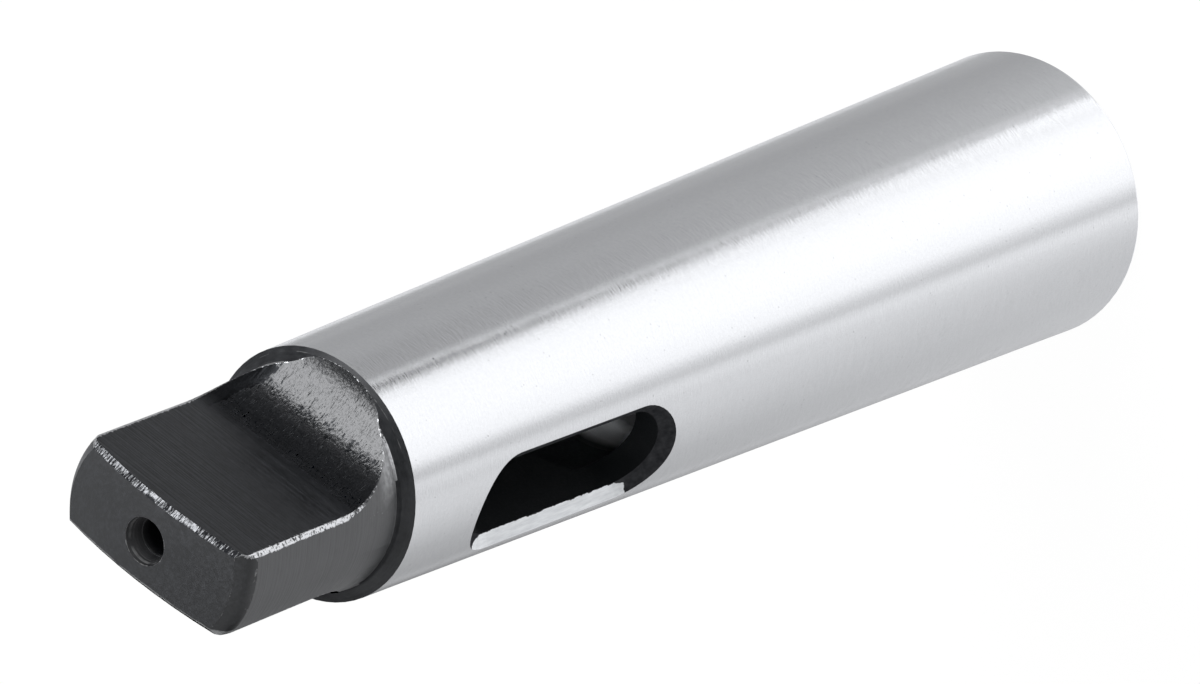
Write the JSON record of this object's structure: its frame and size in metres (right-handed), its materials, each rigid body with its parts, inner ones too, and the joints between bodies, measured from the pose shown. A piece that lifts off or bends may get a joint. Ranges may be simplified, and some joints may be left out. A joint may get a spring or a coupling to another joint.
{
  "type": "morse taper sleeve",
  "caption": "Tapered reducing sleeve with a ground outside taper, a smaller taper socket in its big end, a drift slot through its side and a milled tang with a centre hole.",
  "frame": {"origin": "centre of the big-end face, which the sleeve stands on", "axes": "+Z along the axis from the big end to the tang, +X along the drift slot and the width of the tang, +Y square to the tang's flats"},
  "size_m": [0.0247, 0.0246, 0.112],
  "materials": {
    "steel": "ground outside taper, blackened shoulder, tang and slot"
  },
  "bodies": {
    "root": {"sleeve": "steel"}
  },
  "joints": []
}
